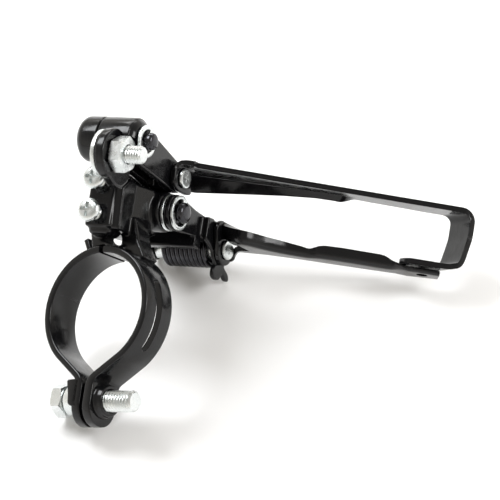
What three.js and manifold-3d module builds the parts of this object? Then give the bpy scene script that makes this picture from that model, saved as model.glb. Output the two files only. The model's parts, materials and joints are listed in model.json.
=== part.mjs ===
// Front derailleur with a hinged band clamp: a three.js model in millimetres, +Z up.
// The derailleur lies on a level surface, as it does on a bench. Inside it, two nested frames are used:
//   seat tube frame: x to the rear of the bicycle, y outboard (to the chain side), z up the seat tube,
//                    with its origin at the centre of the clamp ring;
//   linkage frame:   the same, turned by PIVOT_TILT about y, so that x runs along the pivot pins.
import * as THREE from "three";
import { mergeVertices } from "three/addons/utils/BufferGeometryUtils.js";
import { ConvexGeometry } from "three/addons/geometries/ConvexGeometry.js";
import Module from "manifold-3d";

const wasm = await Module();
wasm.setup();

// ---------- driving dimensions ----------
const GAP = 0.3; // clearance left between touching pieces
const DEG = Math.PI / 180;

// clamp
const TUBE_R = 15.9; // seat tube radius, for a 31.8 mm tube
const BAND_T = 2.0; // clamp sheet thickness
const BAND_TOP = 83; // where the band ends, in degrees from the front of the ring
const BAND_W = 11.5; // clamp width along the seat tube
const LUG_T = 2.8; // thickness of each clamp lug
const LUG_Y = -24.7; // height of the clamp bolt below the ring centre
const LUG_R = BAND_W / 2; // radius of the rounded lug ends
const LUG_END = LUG_Y - 1.6; // centre of the rounded lug end
const PARTING = 0.5; // half of the gap between the two lugs
const BOLT_R = 3.0; // M6 clamp bolt
const BOLT_HEAD_AF = 8.6;
const BOLT_HEAD_T = 3.6;
const BOLT_END = 14.7; // how far the bolt stands out behind the lugs
const COLLAR_R = 4.4;
const COLLAR_L = 4.6;
const CURL_H = 3.0; // height of the curled stiffening edges on the band lug

// linkage, in the linkage frame
const PIVOT_TILT = 10; // degrees
const P1 = [45.8, 12.8]; // outer pivot on the body, as y and z
const P3 = [31.4, -10.3]; // inner pivot on the body
const LINK = [-4.6, -23.5]; // from a body pivot to its cage pivot
const P2 = [P1[0] + LINK[0], P1[1] + LINK[1]]; // outer pivot on the cage
const P4 = [P3[0] + LINK[0], P3[1] + LINK[1]]; // inner pivot on the cage
const BARREL1_R = 6.4; // hub of the outer link
const BARREL2_R = 4.2; // lower hub of the outer link
const BARREL3_R = 5.6; // hub of the inner pivot on the body
const PIN1_R = 2.4;
const PIN3_R = 2.9;
const PIN2_R = 2.2;
const CLIP_T = 0.8;
const HUB1_END = 10.1; // rear end of the outer link's hub
const HUB3_END = 7.7; // rear end of the body's inner hub
const RIVET_HEAD_R = 2.75;
const RIVET_HEAD_T = 0.8;

// cage, as distances along the cage from its front edge and down from its top edge
const CAGE_TILT = 33; // degrees that the cage falls below the pivot pins
const SHEET = 1.5; // cage and link sheet thickness
const OUTER_Y = 44.6; // inner face of the outer plate
const INNER_Y = 27.4; // inboard face of the inner plate

// limit screws
const SCREW_X = -4.3;
const SCREW_YS = { high: 35.4, low: 26.2 };
const SCREW_TOP = 13.2;
const SCREW_R = 2.0;
const SCREW_HEAD_R = 3.25;
const TOWER_R = 3.4; // radius of the post round each screw
const SCREW_BORE_END = -3.6; // height of the bottom of the screw bores

// resting position, in the seat tube frame: the head of the clamp bolt, the hook of the inner link and the
// return spring touch the bench, and the cage points to the right
const REST_UP = [0.4159, 0.482, 0.7712];
const REST_RIGHT = [0.8081, 0.1881, -0.5534];

// ---------- materials ----------
const paint = new THREE.MeshStandardMaterial({ color: 0x0b0b0d, roughness: 0.22, metalness: 0.0 });
const zinc = new THREE.MeshStandardMaterial({ color: 0xc9ced0, roughness: 0.3, metalness: 1.0 });
const blackSteel = new THREE.MeshStandardMaterial({ color: 0x191a1c, roughness: 0.35, metalness: 0.6 });

// ---------- building blocks ----------
function toSolid(geometry) {
  const g = geometry.index ? geometry.toNonIndexed() : geometry.clone();
  g.deleteAttribute("normal");
  g.deleteAttribute("uv");
  const merged = mergeVertices(g, 1e-4);
  return new wasm.Manifold(
    new wasm.Mesh({
      numProp: 3,
      vertProperties: new Float32Array(merged.attributes.position.array),
      triVerts: new Uint32Array(merged.index.array),
    }),
  );
}

function toGeometry(solid) {
  const m = solid.getMesh();
  const v = new Float32Array(m.numVert * 3);
  for (let i = 0; i < m.numVert; i++) {
    v.set(m.vertProperties.subarray(i * m.numProp, i * m.numProp + 3), i * 3);
  }
  const g = new THREE.BufferGeometry();
  g.setAttribute("position", new THREE.BufferAttribute(v, 3));
  g.setIndex(new THREE.BufferAttribute(new Uint32Array(m.triVerts), 1));
  g.computeVertexNormals();
  return g;
}

const join = (...solids) => solids.reduce((a, b) => a.add(b));
const cut = (first, ...others) => others.reduce((a, b) => a.subtract(b), first);

// A flat outline pushed from one place to another along x (outline as y, z), y (as x, z) or z (as x, y).
function prism(outline, along, from, to) {
  const shape = new THREE.Shape(outline.map(([a, b]) => new THREE.Vector2(a, b)));
  const g = new THREE.ExtrudeGeometry(shape, { depth: to - from, bevelEnabled: false });
  const basis = new THREE.Matrix4();
  if (along === "x") {
    basis.makeBasis(new THREE.Vector3(0, 1, 0), new THREE.Vector3(0, 0, 1), new THREE.Vector3(1, 0, 0));
    basis.setPosition(from, 0, 0);
  } else if (along === "y") {
    basis.makeBasis(new THREE.Vector3(1, 0, 0), new THREE.Vector3(0, 0, 1), new THREE.Vector3(0, -1, 0));
    basis.setPosition(0, to, 0);
  } else {
    basis.setPosition(0, 0, from);
  }
  return toSolid(g.applyMatrix4(basis));
}

// A round solid about a line parallel to x, from radius pairs [x, radius], closed on its axis.
function turnedX(steps, y, z, segments = 32) {
  const profile = [[steps[0][0], 0], ...steps, [steps[steps.length - 1][0], 0]];
  const g = new THREE.LatheGeometry(profile.map(([x, r]) => new THREE.Vector2(r, x)), segments);
  g.rotateZ(-Math.PI / 2);
  g.translate(0, y, z);
  return toSolid(g);
}

const rodX = (r, x0, x1, y, z, segments = 32) => turnedX([[x0, r], [x1, r]], y, z, segments);

function turnedZ(steps, x, y, segments = 28) {
  const profile = [[steps[0][0], 0], ...steps, [steps[steps.length - 1][0], 0]];
  const g = new THREE.LatheGeometry(profile.map(([z, r]) => new THREE.Vector2(r, z)), segments);
  g.rotateX(Math.PI / 2);
  g.translate(x, y, 0);
  return toSolid(g);
}

function rodY(r, y0, y1, x, z, segments = 24) {
  const g = new THREE.CylinderGeometry(r, r, y1 - y0, segments);
  g.translate(x, (y0 + y1) / 2, z);
  return toSolid(g);
}

function box(x0, x1, y0, y1, z0, z1) {
  const g = new THREE.BoxGeometry(x1 - x0, y1 - y0, z1 - z0);
  g.translate((x0 + x1) / 2, (y0 + y1) / 2, (z0 + z1) / 2);
  return toSolid(g);
}

// A hexagon of the given width across flats, with two corners towards +y and -y of its outline.
function hexagon(acrossFlats, y, z) {
  const r = acrossFlats / Math.sqrt(3);
  return Array.from({ length: 6 }, (_, i) => [
    y + r * Math.cos((i * Math.PI) / 3),
    z + r * Math.sin((i * Math.PI) / 3),
  ]);
}

// Points on an arc about (cx, cy), from one angle to another in degrees.
function arc(cx, cy, r, from, to, steps) {
  return Array.from({ length: steps + 1 }, (_, i) => {
    const a = (from + ((to - from) * i) / steps) * DEG;
    return [cx + r * Math.cos(a), cy + r * Math.sin(a)];
  });
}

// The outline of two discs joined by their outer tangents: a link with round ends.
function linkOutline([ay, az], ra, [by, bz], rb, steps = 12) {
  const dir = Math.atan2(bz - az, by - ay) / DEG;
  const lean = Math.acos((ra - rb) / Math.hypot(by - ay, bz - az)) / DEG;
  return [
    ...arc(ay, az, ra, dir + lean, dir + 360 - lean, steps * 2),
    ...arc(by, bz, rb, dir - lean, dir + lean, steps),
  ];
}

function mesh(name, solid, material) {
  const m = new THREE.Mesh(toGeometry(solid), material);
  m.name = name;
  return m;
}

const tilt = new THREE.Matrix4().makeRotationY(PIVOT_TILT * DEG);
const moved = (solid, matrix) => toSolid(toGeometry(solid).applyMatrix4(matrix));

// ---------- clamp, in the seat tube frame ----------
// Half of the clamp ring as a curved strip, which leaves the circle at an angle for its lug;
// side is +1 or -1 in x.
function halfRing(side, topAngle, leave) {
  const outer = TUBE_R + BAND_T;
  const foot = [PARTING, PARTING + LUG_T];
  const outline = [
    ...arc(0, 0, outer, topAngle, leave, 34),
    [foot[1], -20.4],
    [foot[1], -23],
    [foot[0], -23],
    [foot[0], -18.6],
    ...arc(0, 0, TUBE_R, leave - 4, topAngle, 34),
  ];
  return outline.map(([x, y]) => [side * x, y]);
}

function lugPlate(x0, x1) {
  const outline = [[-19.4, LUG_R], ...arc(LUG_END, 0, LUG_R, 90, 270, 16), [-19.4, -LUG_R]];
  return prism(outline, "x", x0, x1);
}

const WELD_NUT = { r: 4.7, t: 2.6 }; // the round nut on the rear lug of the clamp
const RING_SLOT = { r: 1.25, top: 8.6, bottom: -9.4 }; // the long slot in the side of the ring
function clampHalfWithArm() {
  const halfW = BAND_W / 2;
  const lugOuter = PARTING + LUG_T;
  const nut = rodX(WELD_NUT.r, lugOuter - LUG_T / 2, lugOuter + WELD_NUT.t, LUG_Y, 0, 28);
  const strip = prism(halfRing(1, 92, -65).reverse(), "z", -halfW, halfW);
  const half = join(strip, lugPlate(PARTING, lugOuter), nut);
  const { r, top, bottom } = RING_SLOT;
  const slot = [...arc(top, 0, r, 90, -90, 8), ...arc(bottom, 0, r, -90, -270, 8)];
  // the hooked arm that the band hangs on, and the strut and gusset that carry the body
  const arm = [
    ...arc(0, 0, TUBE_R + 0.5, 86, 92, 1),
    ...arc(0, 0, TUBE_R + BAND_T + GAP, 93.5, 110, 5),
    [-7.6, 23.0],
    [-5.8, 23.4],
    [-4.5, 20.9],
    [-2.6, 19.7],
    [0.6, 19.0],
    [2.6, 18.4],
  ];
  const strut = [
    [1.4, 16.8],
    [4.2, 16.4],
    [8.4, 14.4],
    [10.2, 16.0],
    [6.8, 20.8],
    [4.4, 27.0],
    [-0.4, 27.0],
  ];
  return join(cut(half, prism(slot, "x", 9, 22)), prism(arm, "z", -3.5, 4.5), prism(strut, "z", -halfW, 0.5));
}

const FRONT_WALL = [-5.8, -1.6]; // the wall that carries the outer pivot boss, in x
// The body itself, in the linkage frame: a column for the limit screws, a hub and a boss for the pivots.
function bodyCasting() {
  const column = [
    [-7.2, -4],
    [-5.8, -9],
    [1.6, -13.5],
    [5.5, -6],
    [0.6, 8.6],
    [-7.2, 8.6],
  ];
  const columnFoot = [
    [-6.6, 0.5],
    [1.0, 0.5],
    [0.4, 8.0],
    [-6.6, 8.0],
  ];
  const shoulder = [
    [34, 8.6],
    [34, -13.0],
    [38.0, -12.4],
    [40.4, -4],
    [P1[0] + BARREL1_R, P1[1]],
    [P1[0], P1[1] + 3],
  ];
  const shelf = [
    [34, 5.6],
    [34, -13.2],
    [38.0, -12.4],
    [39.0, -6],
    [39.4, 2],
    [37.6, 4.6],
  ];
  const web = [
    [22.0, 7.0],
    [22.0, -6.0],
    [25.6, -14.4],
    [33.0, -15.6],
    [36.2, -9.5],
    [36.6, -3.0],
    [37.6, 4.0],
    [34, 7.8],
  ];
  const boss = [
    [-9.4, 3.4],
    [-8.4, 5.4],
    [-7.0, BARREL1_R],
    [FRONT_WALL[1], BARREL1_R],
  ];
  return join(
    prism(column, "y", 22.4, 36.6),
    ...Object.values(SCREW_YS).map((y) => turnedZ([[-4, TOWER_R], [8.6, TOWER_R]], SCREW_X, y)),
    prism(columnFoot, "y", 20.6, 23),
    prism(shoulder, "x", ...FRONT_WALL),
    prism(shelf, "x", FRONT_WALL[0], 0.4),
    prism(web, "x", FRONT_WALL[0], 3.2),
    turnedX(boss, ...P1, 36),
    rodX(BARREL3_R, -6.8, HUB3_END, ...P3, 36),
  );
}

function screwBore(r, bottom, y) {
  return turnedZ([[bottom, r + GAP], [40, r + GAP]], SCREW_X, y, 24);
}

function fixedBody() {
  const bores = [
    rodX(PIN1_R + GAP, -6.4, 20, ...P1, 28),
    rodX(PIN3_R + GAP, -8, 20, ...P3, 28),
    screwBore(SCREW_R, SCREW_BORE_END, SCREW_YS.high),
    screwBore(SCREW_R, SCREW_BORE_END, SCREW_YS.low),
    screwBore(SCREW_HEAD_R, 8.6, SCREW_YS.high),
  ];
  let body = join(clampHalfWithArm(), moved(bodyCasting(), tilt));
  // nothing of the body reaches into the seat tube
  const tube = turnedZ([[-30, TUBE_R], [30, TUBE_R]], 0, 0, 72);
  body = cut(body, ...bores.map((b) => moved(b, tilt)), tube, rodX(BOLT_R + GAP, -5, 20, LUG_Y, 0, 28));
  return mesh("fixed_body", body, paint);
}

function clampBand() {
  const halfW = BAND_W / 2;
  let band = prism(halfRing(-1, BAND_TOP, -68), "z", -halfW, halfW);
  // the end turned over the arm of the body as a hook
  const hook = [
    [-7.4, 14.6],
    [-7.1, 16.5],
    [-8.1, 18.0],
    [-9.0, 20.3],
    [-10.2, 19.8],
    [-9.8, 17.2],
    [-9.0, 14.2],
  ];
  band = join(band, prism(hook, "z", -halfW + 2.4, halfW - 2.4));
  band = join(band, lugPlate(-PARTING - LUG_T, -PARTING));
  const face = -PARTING - LUG_T;
  const curl = [
    [face - CURL_H, -19.8],
    [face - 0.6 * CURL_H, -24],
    [face - 0.5 * CURL_H, LUG_END - 1.4],
    [face + 1.8, LUG_END - 1.4],
    [face + 1.8, -19.6],
  ];
  for (const side of [-1, 1]) {
    const z = side * (LUG_R - 0.5);
    band = join(band, prism(curl, "z", z - 0.5, z + 0.5));
  }
  band = cut(band, rodX(BOLT_R + 0.9, -20, 5, LUG_Y, 0, 28));
  return mesh("clamp_band", band, paint);
}

const collarStart = -PARTING - LUG_T - GAP;
function clampCollar() {
  const x0 = collarStart - COLLAR_L;
  const outer = turnedX([[x0, COLLAR_R - 0.4], [x0 + 0.4, COLLAR_R], [collarStart, COLLAR_R]], LUG_Y, 0);
  return mesh("clamp_collar", cut(outer, rodX(BOLT_R + GAP, x0 - 1, 1, LUG_Y, 0, 28)), zinc);
}

function clampBolt() {
  const x1 = collarStart - COLLAR_L - GAP;
  const head = prism(hexagon(BOLT_HEAD_AF, LUG_Y, 0), "x", x1 - BOLT_HEAD_T, x1);
  const shank = turnedX([[x1 - 0.5, BOLT_R], [BOLT_END - 0.6, BOLT_R], [BOLT_END, BOLT_R - 0.6]], LUG_Y, 0, 28);
  return mesh("clamp_bolt", join(head, shank), zinc);
}

// ---------- outer link, in the linkage frame ----------
const ANCHOR = [40.2, 20.2]; // cable anchor, as y and z
const ANCHOR_R = 2.5;
const ANCHOR_ROOM = 5.9; // radius kept clear of the hub round the anchor
const LINK1_FRONT = [0.8, 3.4];
const LINK1_REAR = [6.2, 8.8];
function outerLink() {
  const x0 = FRONT_WALL[1] + GAP;
  const upper = turnedX([[x0, BARREL1_R], [HUB1_END - 2.2, BARREL1_R], [HUB1_END, 4.6]], ...P1, 36);
  const lower = rodX(BARREL2_R, LINK1_FRONT[0], LINK1_REAR[1], ...P2, 28);
  const webOutline = linkOutline(P1, 5.6, P2, 4.2);
  const spine = [
    [P1[0] + 2.2, P1[1]],
    [P2[0] + 2.6, P2[1]],
    [P2[0] + 0.2, P2[1]],
    [P1[0] - 0.2, P1[1]],
  ];
  let link = join(
    upper,
    lower,
    prism(webOutline, "x", ...LINK1_REAR),
    prism(webOutline, "x", ...LINK1_FRONT),
    prism(spine, "x", LINK1_FRONT[0], LINK1_REAR[1]),
  );
  link = cut(link, rodX(PIN1_R + GAP, -5, 20, ...P1, 28), rodX(PIN2_R + GAP, -5, 20, ...P2, 24));
  link = cut(link, rodX(ANCHOR_ROOM, 0.1, 20, ...ANCHOR, 32));
  return mesh("outer_link", link, paint);
}

const CLAMP_PLATE_X = [1.9, 3.2]; // the cable clamping plate
const ARM_X = [3.5, 6.3];
const ARM_R = 7.1; // radius of the arm round the anchor
const besideHub = () => rodX(BARREL1_R + GAP, -5, 20, ...P1, 36);
const anchorHole = () => rodX(ANCHOR_R + GAP, -5, 20, ...ANCHOR, 24);
function cableArm() {
  const plate = rodX(ARM_R, ...ARM_X, ...ANCHOR, 48);
  const tailOutline = [
    [36.2, 26.0],
    [33.4, 21.6],
    [31.6, 17.2],
    [31.8, 14.0],
    [34.6, 10.8],
    [37.6, 10.4],
    [41.5, 14.5],
    [41.5, 20],
  ];
  const arm = join(plate, prism(tailOutline, "x", ...ARM_X));
  return mesh("cable_arm", cut(arm, besideHub(), anchorHole()), paint);
}

function anchorPieces() {
  const plate = cut(rodX(6.7, ...CLAMP_PLATE_X, ...ANCHOR, 48), besideHub(), anchorHole());
  const nutX = ARM_X[1] + GAP;
  const nut = cut(prism(hexagon(9, ...ANCHOR), "x", nutX, nutX + 3.8), anchorHole());
  const headX = CLAMP_PLATE_X[0] - GAP;
  const head = turnedX([[headX - 1.2, 3.2], [headX - 0.9, 3.6], [headX, 3.6]], ...ANCHOR, 32);
  const shank = turnedX([[headX - 0.5, ANCHOR_R], [14.6, ANCHOR_R], [15.2, ANCHOR_R - 0.5]], ...ANCHOR, 24);
  return [
    mesh("cable_anchor_nut", nut, zinc),
    mesh("cable_anchor_washer", plate, zinc),
    mesh("cable_anchor_bolt", join(head, shank), zinc),
  ];
}

// ---------- inner link ----------
const EAR_REAR = [9.2, 10.7]; // the rear side plate at the body pivot
const EAR4_REAR = [11.5, 12.7]; // the same plate, joggled to the rear at the cage pivot
const EAR_FRONT = [-8.8, -7.2];
function innerLink() {
  const rear = linkOutline(P3, 5.0, [31.0, -20.5], 3.6);
  const rearSide = [
    [35.0, -13.4],
    [34.0, -27.8],
    [28.6, -27.8],
    [28.2, -24.6],
    [27.4, -17.0],
    [29.0, -13.4],
  ];
  const joggle = [
    [34.0, -24.6],
    [34.1, -28.2],
    [27.6, -28.0],
    [28.2, -24.6],
  ];
  const rearEnd = [
    [33.2, -24.6],
    [34.2, -32.8],
    [32.0, -36.4],
    [23.4, -37.6],
    [22.0, -36.6],
    [21.2, -33.4],
    [23.4, -30.8],
    [25.6, -29.4],
    [27.6, -24.6],
  ];
  const front = linkOutline(P3, 5.0, P4, 3.6);
  const frontSide = [
    [35.0, -13.4],
    [34.2, -26.2],
    [28.4, -33.0],
    [24.6, -25.6],
    [30.0, -14.0],
  ];
  // the web between the side plates, with its outboard edge turned up
  const web = [
    [24.6, -25.6],
    [34.2, -26.2],
    [34.9, -18.2],
    [33.5, -18.0],
    [33.0, -22.4],
    [24.6, -21.9],
  ];
  // two lobes: the stop that the spring's leg hooks over, and the end of that leg's seat
  const hook = [
    [24.4, -33.4],
    [20.6, -31.0],
    [18.6, -31.4],
    [18.0, -33.4],
    [18.6, -35.6],
    [20.4, -36.4],
    [18.9, -38.6],
    [19.2, -40.7],
    [20.9, -40.2],
    [22.4, -37.4],
  ];
  let link = join(
    prism(rear, "x", ...EAR_REAR),
    prism(rearSide, "x", ...EAR_REAR),
    prism(joggle, "x", EAR_REAR[0], EAR4_REAR[1]),
    prism(rearEnd, "x", ...EAR4_REAR),
    rodX(4.4, ...EAR4_REAR, ...P4, 32),
    prism(hook, "x", ...EAR4_REAR),
    prism(front, "x", ...EAR_FRONT),
    prism(frontSide, "x", ...EAR_FRONT),
    prism(web, "x", EAR_FRONT[0], EAR_REAR[1]),
  );
  link = cut(link, rodX(PIN3_R + GAP, -20, 20, ...P3, 28), rodX(PIN2_R + GAP, -20, 20, ...P4, 24));
  return mesh("inner_link", link, paint);
}

// ---------- pins, clips, rivets ----------
function pin(name, r, x0, x1, [y, z], grooveX) {
  let p = turnedX([[x0, r], [x1 - 0.4, r], [x1, r - 0.4]], y, z, 28);
  if (grooveX !== undefined) {
    const grooveEnd = grooveX + CLIP_T + 2 * GAP;
    const ring = cut(rodX(r + 1, grooveX, grooveEnd, y, z, 28), rodX(r - 0.7, 0, 20, y, z, 28));
    p = cut(p, ring);
  }
  return mesh(name, p, blackSteel);
}

// An E-clip: a ring open on one side, with three teeth that sit in the pin's groove.
function eClip(name, pinR, outerR, x0, [y, z], openAngle) {
  let clip = rodX(outerR, x0, x0 + CLIP_T, y, z, 36);
  clip = cut(clip, rodX(pinR - 0.7 + GAP, x0 - 1, x0 + 2, y, z, 28));
  for (const a of [-125, -55, 55, 125]) {
    const t = (openAngle + a) * DEG;
    const r = pinR + 0.35;
    clip = cut(clip, rodX(1.05, x0 - 1, x0 + 2, y + r * Math.cos(t), z + r * Math.sin(t), 16));
  }
  const s = Math.sin(openAngle * DEG);
  const c = Math.cos(openAngle * DEG);
  const half = pinR - 0.7;
  const mouth = [[0, -half], [outerR + 1, -half - 0.6], [outerR + 1, half + 0.6], [0, half]];
  clip = cut(clip, prism(mouth.map(([a, b]) => [y + a * c - b * s, z + a * s + b * c]), "x", x0 - 1, x0 + 2));
  return mesh(name, clip, zinc);
}

function rivet(name, x0, x1, [y, z]) {
  const steps = [
    [x0, PIN2_R],
    [x1 - RIVET_HEAD_T, PIN2_R],
    [x1 - RIVET_HEAD_T, RIVET_HEAD_R],
    [x1 - 0.3, RIVET_HEAD_R],
    [x1, RIVET_HEAD_R - 0.4],
  ];
  return mesh(name, turnedX(steps, y, z, 32), zinc);
}

function washer(name, r, hole, x0, x1, [y, z], material) {
  return mesh(name, cut(rodX(r, x0, x1, y, z, 32), rodX(hole, x0 - 1, x1 + 1, y, z, 28)), material);
}

// The torsion spring stands as a plain sleeve round the inner cage pin, with its two short legs.
const SPRING_X = [-4.6, 11.1];
const SPRING_R = 5.2; // outside of the coil
const WIRE = 1.4;
function returnSpring() {
  const coil = cut(rodX(SPRING_R, ...SPRING_X, ...P4, 32), rodX(SPRING_R - WIRE, -20, 20, ...P4, 28));
  return mesh("return_spring", coil, blackSteel);
}

// ---------- limit screws ----------
function limitScrew(name, y) {
  const underHead = SCREW_TOP - 2.0;
  const steps = [
    [-1.8, SCREW_R],
    [underHead - 0.7, SCREW_R],
    [underHead - 0.7, SCREW_R + 0.5],
    [underHead, SCREW_R + 0.5],
    [underHead, SCREW_HEAD_R],
    [SCREW_TOP - 0.9, SCREW_HEAD_R],
    [SCREW_TOP, SCREW_HEAD_R - 0.7],
  ];
  const arm = 2.1;
  const half = 0.45;
  const floor = SCREW_TOP - 1.1;
  const screw = cut(
    turnedZ(steps, SCREW_X, y, 28),
    box(SCREW_X - arm, SCREW_X + arm, y - half, y + half, floor, SCREW_TOP + 1),
    box(SCREW_X - half, SCREW_X + half, y - arm, y + arm, floor, SCREW_TOP + 1),
  );
  return mesh(name, screw, zinc);
}

// ---------- cage, in the linkage frame ----------
// A point of the cage: s along it from the front top corner, d down from the top edge.
const CAGE_ORIGIN = [11.6, -10.4]; // front top corner of the outer plate, as x and z
const along = [Math.cos(CAGE_TILT * DEG), -Math.sin(CAGE_TILT * DEG)];
const down = [-Math.sin(CAGE_TILT * DEG), -Math.cos(CAGE_TILT * DEG)];
const cagePoint = ([s, d]) => [
  CAGE_ORIGIN[0] + s * along[0] + d * down[0],
  CAGE_ORIGIN[1] + s * along[1] + d * down[1],
];

// A sheet seen edge on as an outline in (s, y), standing from depth d0 to d1; it leans back with depth.
function cageStrip(outline, d0, d1, lean = 0) {
  const matrix = new THREE.Matrix4().makeBasis(
    new THREE.Vector3(along[0], 0, along[1]),
    new THREE.Vector3(0, 1, 0),
    new THREE.Vector3(-down[0] - lean * along[0], 0, -down[1] - lean * along[1]),
  );
  matrix.setPosition(CAGE_ORIGIN[0], 0, CAGE_ORIGIN[1]);
  return moved(prism(outline, "z", -d1, -d0), matrix);
}

const TAIL_LEAN = -0.57; // how far the tail of the outer plate slopes back per millimetre of depth
const TAIL_S = 73.4; // where the tail begins to turn
const TAIL_DEPTH = 8.5;
const TAB_Y = INNER_Y + 1.1; // inboard face of the tail tab of the outer plate
const CREASE = [11.5, 0.1585]; // depth of the crease at the front, and how fast it rises along the cage
const FLARE = 0.7; // how far the plate leans inboard per millimetre below the crease

// Leans a piece of the outer plate inboard below the crease.
function flared(solid) {
  const [depth, rise] = CREASE;
  const perX = -FLARE * (down[0] + rise * along[0]);
  const perZ = -FLARE * (down[1] + rise * along[1]);
  const matrix = new THREE.Matrix4();
  matrix.elements[1] = perX;
  matrix.elements[9] = perZ;
  matrix.elements[13] = FLARE * depth - perX * CAGE_ORIGIN[0] - perZ * CAGE_ORIGIN[1];
  return moved(solid, matrix);
}

function cageOuterPlate() {
  const tailBottom = [TAIL_S + TAIL_LEAN * TAIL_DEPTH, TAIL_DEPTH];
  const face = [[0, 0], [TAIL_S, 0], tailBottom, [44, 7.5], [41, 5.6], [17, 9.2], [0, 11.9]];
  const band = [
    [0, 11.2],
    [17, 8.5],
    [41, 4.9],
    [45, 5.4],
    [42, 7.0],
    [36.7, 7.9],
    [28.4, 9.9],
    [17.3, 12.9],
    [4, 16.6],
    [0, 17.1],
  ];
  const plate = join(
    prism(face.map(cagePoint), "y", OUTER_Y, OUTER_Y + SHEET),
    flared(prism(band.map(cagePoint), "y", OUTER_Y, OUTER_Y + SHEET)),
  );
  const earOutline = [
    [OUTER_Y + 0.8, -11],
    [OUTER_Y + 0.8, -15.5],
    [38, -16.5],
    [37.4, -14.6],
    [37.4, -8.6],
    [39, -6.2],
    [43.4, -6.0],
  ];
  const ear = prism(earOutline, "x", 9.1, 10.6);
  const earBlend = box(10.2, 12.6, OUTER_Y, OUTER_Y + SHEET, -15.5, -8.2);
  // the tail turns inboard round a corner and ends in a tab that points forward
  const outboard = OUTER_Y + SHEET;
  const corner = [76.8, outboard - 4.0];
  const bend = [
    [TAIL_S - 0.6, outboard],
    ...arc(...corner, 4.0, 90, 0, 8),
    [80.8, 38.6],
    [79.3, TAB_Y + 1.8],
    [78.2, TAB_Y + 0.4],
    [76.8, TAB_Y],
    [64.8, TAB_Y],
    [64.8, TAB_Y + SHEET],
    [76.3, TAB_Y + SHEET],
    [77.8, TAB_Y + 2.8],
    [79.3, 38.6],
    ...arc(...corner, 2.5, 0, 90, 8),
    [TAIL_S - 0.6, OUTER_Y],
  ];
  const tail = cageStrip(bend.reverse(), 0, TAIL_DEPTH, TAIL_LEAN);
  let solid = join(plate, ear, earBlend, tail);
  // the tab is narrower than the tail
  const beside = [[60, TAB_Y - 1], [75.0, TAB_Y - 1], [75.0, TAB_Y + 3], [60, TAB_Y + 3]];
  solid = cut(solid, cageStrip(beside, 6.5, 12, TAIL_LEAN), cageStrip(beside, -3, 1.5, TAIL_LEAN));
  solid = cut(solid, rodX(PIN2_R + GAP, -5, 20, ...P2, 24));
  return mesh("cage_outer_plate", solid, paint);
}

const NECK_S = 19.5; // where the twisted neck of the inner plate becomes the plate
const EAR4_CAGE = [13.0, 14.2]; // the ear of the inner plate on its rivet
const TAIL_TAB = { from: 62.5, to: 73.4, top: 3.5, bottom: 9.0, y: INNER_Y - 0.7 };
function neckOfInnerPlate() {
  const [front, rear] = EAR4_CAGE;
  const [x1, z1] = cagePoint([NECK_S + 1, 9.0]);
  const [x2, z2] = cagePoint([NECK_S, 20]);
  const corners = [
    [front, 33.8, -29.6],
    [rear, 33.8, -30.6],
    [front, 24.2, -37.6],
    [rear, 24.6, -38.0],
    [x1, INNER_Y + 3, z1],
    [x1, INNER_Y, z1],
    [x2, INNER_Y, z2],
    [x2, INNER_Y + SHEET, z2],
  ];
  return toSolid(new ConvexGeometry(corners.map((p) => new THREE.Vector3(...p))));
}

function cageInnerPlate() {
  const topEdge = [[NECK_S, 8.6], [25, 11.2], [31, 12.4], [38, 12.2], [39.2, 10.4], [46, 9.2], [62, 8.6]];
  const lowEdge = [[64, 10], [64, 14.2], [47, 16.2], [34, 17.4], [26, 18.8], [NECK_S, 21.5]];
  const plate = prism([...topEdge, ...lowEdge].map(cagePoint), "y", INNER_Y, INNER_Y + SHEET);
  // the flange along the top edge, narrowing towards the notch and wide again behind it
  const flangeFront = [
    [NECK_S, INNER_Y + 3],
    [36, INNER_Y + 1.9],
    [38, INNER_Y + SHEET],
    [38, INNER_Y],
    [NECK_S, INNER_Y],
  ];
  const flangeRear = [
    [38, INNER_Y],
    [38, INNER_Y + 2.2],
    [39.6, INNER_Y + 3],
    [60, INNER_Y + 3],
    [64, INNER_Y + SHEET],
    [64, INNER_Y],
  ];
  const flange = join(cageStrip(flangeFront, 11.8, 13.3), cageStrip(flangeRear.reverse(), 9.6, 11.1));
  const frontOutline = [[NECK_S, 8.6], [NECK_S, 14], [31, 14], [31, 12.4], [25, 11.2]];
  const front = prism(frontOutline.map(cagePoint), "y", INNER_Y, INNER_Y + 2.6);
  // the tail tab, joggled inboard, with the stop lug turned over its top edge
  const { from, to, top, bottom, y } = TAIL_TAB;
  const tabLow = bottom + 2.4;
  const tabFace = [[from, 8.6], [from + 2.5, top], [to, top], [to, bottom], [from + 2, tabLow], [from, 14.2]];
  const tab = prism(tabFace.map(cagePoint), "y", y, y + SHEET);
  const lugFace = [[to - 4, top], [to, top], [to, top + 2.5], [to - 4, top + 2.5]];
  const lug = prism(lugFace.map(cagePoint), "y", y + 1, TAB_Y - GAP);
  const ear = prism(linkOutline(P4, 4.4, [31.4, -30.2], 2.8), "x", ...EAR4_CAGE);
  const hole = cagePoint([to - 4.6, (top + bottom) / 2 + 0.6]);
  const solid = cut(
    join(plate, flange, front, tab, lug, ear, neckOfInnerPlate()),
    rodX(PIN2_R + GAP, -5, 20, ...P4, 24),
    rodX(RIVET_HEAD_R + GAP, EAR4_CAGE[1], 20, ...P4, 28),
    rodX(4.7, 0, EAR4_REAR[1] + GAP, ...P4, 28),
    rodY(1.6, 20, y + SHEET + 0.2, ...hole, 20),
  );
  return mesh("cage_inner_plate", solid, paint);
}

// ---------- assembly ----------
const seatTubeFrame = new THREE.Group();
seatTubeFrame.add(fixedBody(), clampBand(), clampCollar(), clampBolt());

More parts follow.
